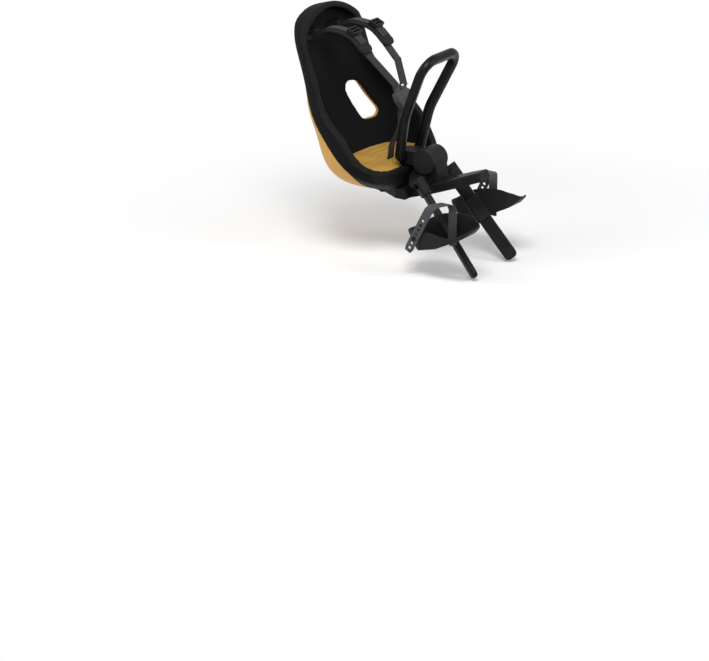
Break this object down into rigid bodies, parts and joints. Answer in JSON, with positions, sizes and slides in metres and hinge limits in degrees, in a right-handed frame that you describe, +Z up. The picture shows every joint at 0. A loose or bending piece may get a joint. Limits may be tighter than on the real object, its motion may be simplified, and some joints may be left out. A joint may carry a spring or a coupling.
{
  "type": "front child bicycle seat",
  "caption": "Front-mounted child seat for a bicycle: foam-lined bucket with harness, grab bar, steerer clamp and sliding foot rests with straps.",
  "frame": {"origin": "centre of the steerer clamp's bore", "axes": "+X is the way the bicycle rides, +Y is the rider's left, +Z is up; the clamp's axis leans back 21 degrees"},
  "size_m": [0.5192, 0.3394, 0.5516],
  "materials": {
    "shell_yellow": "satin",
    "foam_black": "matte",
    "pad_yellow": "matte",
    "webbing": "woven",
    "shoulder_foam": "matte",
    "black_plastic": "matte",
    "grip_rubber": "satin",
    "buckle_grey": "satin",
    "strap_rubber": "matte",
    "steel": "brushed"
  },
  "bodies": {
    "seat": {"outer_shell": "shell_yellow", "foam_liner": "foam_black", "seat_pad": "pad_yellow", "base_screws": "steel", "slot_bezel_right": "black_plastic", "slot_bezel_left": "black_plastic", "shoulder_pad_right": "shoulder_foam", "shoulder_pad_left": "shoulder_foam", "shoulder_strap_right": "webbing", "shoulder_strap_left": "webbing", "strap_adjuster_right": "black_plastic", "strap_adjuster_left": "black_plastic", "chest_strap_right": "webbing", "chest_strap_left": "webbing", "buckle_body": "buckle_grey", "buckle_tongue_right": "buckle_grey", "buckle_tongue_left": "buckle_grey", "crotch_strap": "webbing", "pommel": "black_plastic", "handle_bar": "grip_rubber", "carrier": "black_plastic", "hub_axle": "steel", "hub_cap_right": "black_plastic", "hub_cap_left": "black_plastic", "safety_loop": "black_plastic", "steerer_bracket": "black_plastic", "bracket_jaw": "black_plastic", "clamp_bolts": "steel", "stem_right": "black_plastic", "stem_left": "black_plastic", "stem_screws": "steel"},
    "foot_right": {"foot_cup_right": "black_plastic", "foot_strap_right": "strap_rubber", "strap_peg_right": "black_plastic"},
    "foot_left": {"foot_cup_left": "black_plastic", "foot_strap_left": "strap_rubber", "strap_peg_left": "black_plastic"},
    "release": {"release_button": "black_plastic"},
    "buckle_push": {"buckle_button": "buckle_grey"}
  },
  "joints": [
    {"name": "foot_right_slide", "type": "slide", "parent": "seat", "child": "foot_right", "axis": [0.654, -0.0713, -0.7531], "range_m": [-0.027, 0.054]},
    {"name": "foot_left_slide", "type": "slide", "parent": "seat", "child": "foot_left", "axis": [0.654, 0.0713, -0.7531], "range_m": [-0.009, 0.072]},
    {"name": "release_press", "type": "slide", "parent": "seat", "child": "release", "axis": [0, 1, 0], "range_m": [0, 0.0044], "stiffness_N_per_m": 900, "springref_m": -0.003},
    {"name": "buckle_press", "type": "slide", "parent": "seat", "child": "buckle_push", "axis": [-0.9135, 0, -0.4067], "range_m": [0, 0.003], "stiffness_N_per_m": 900, "springref_m": -0.003}
  ]
}
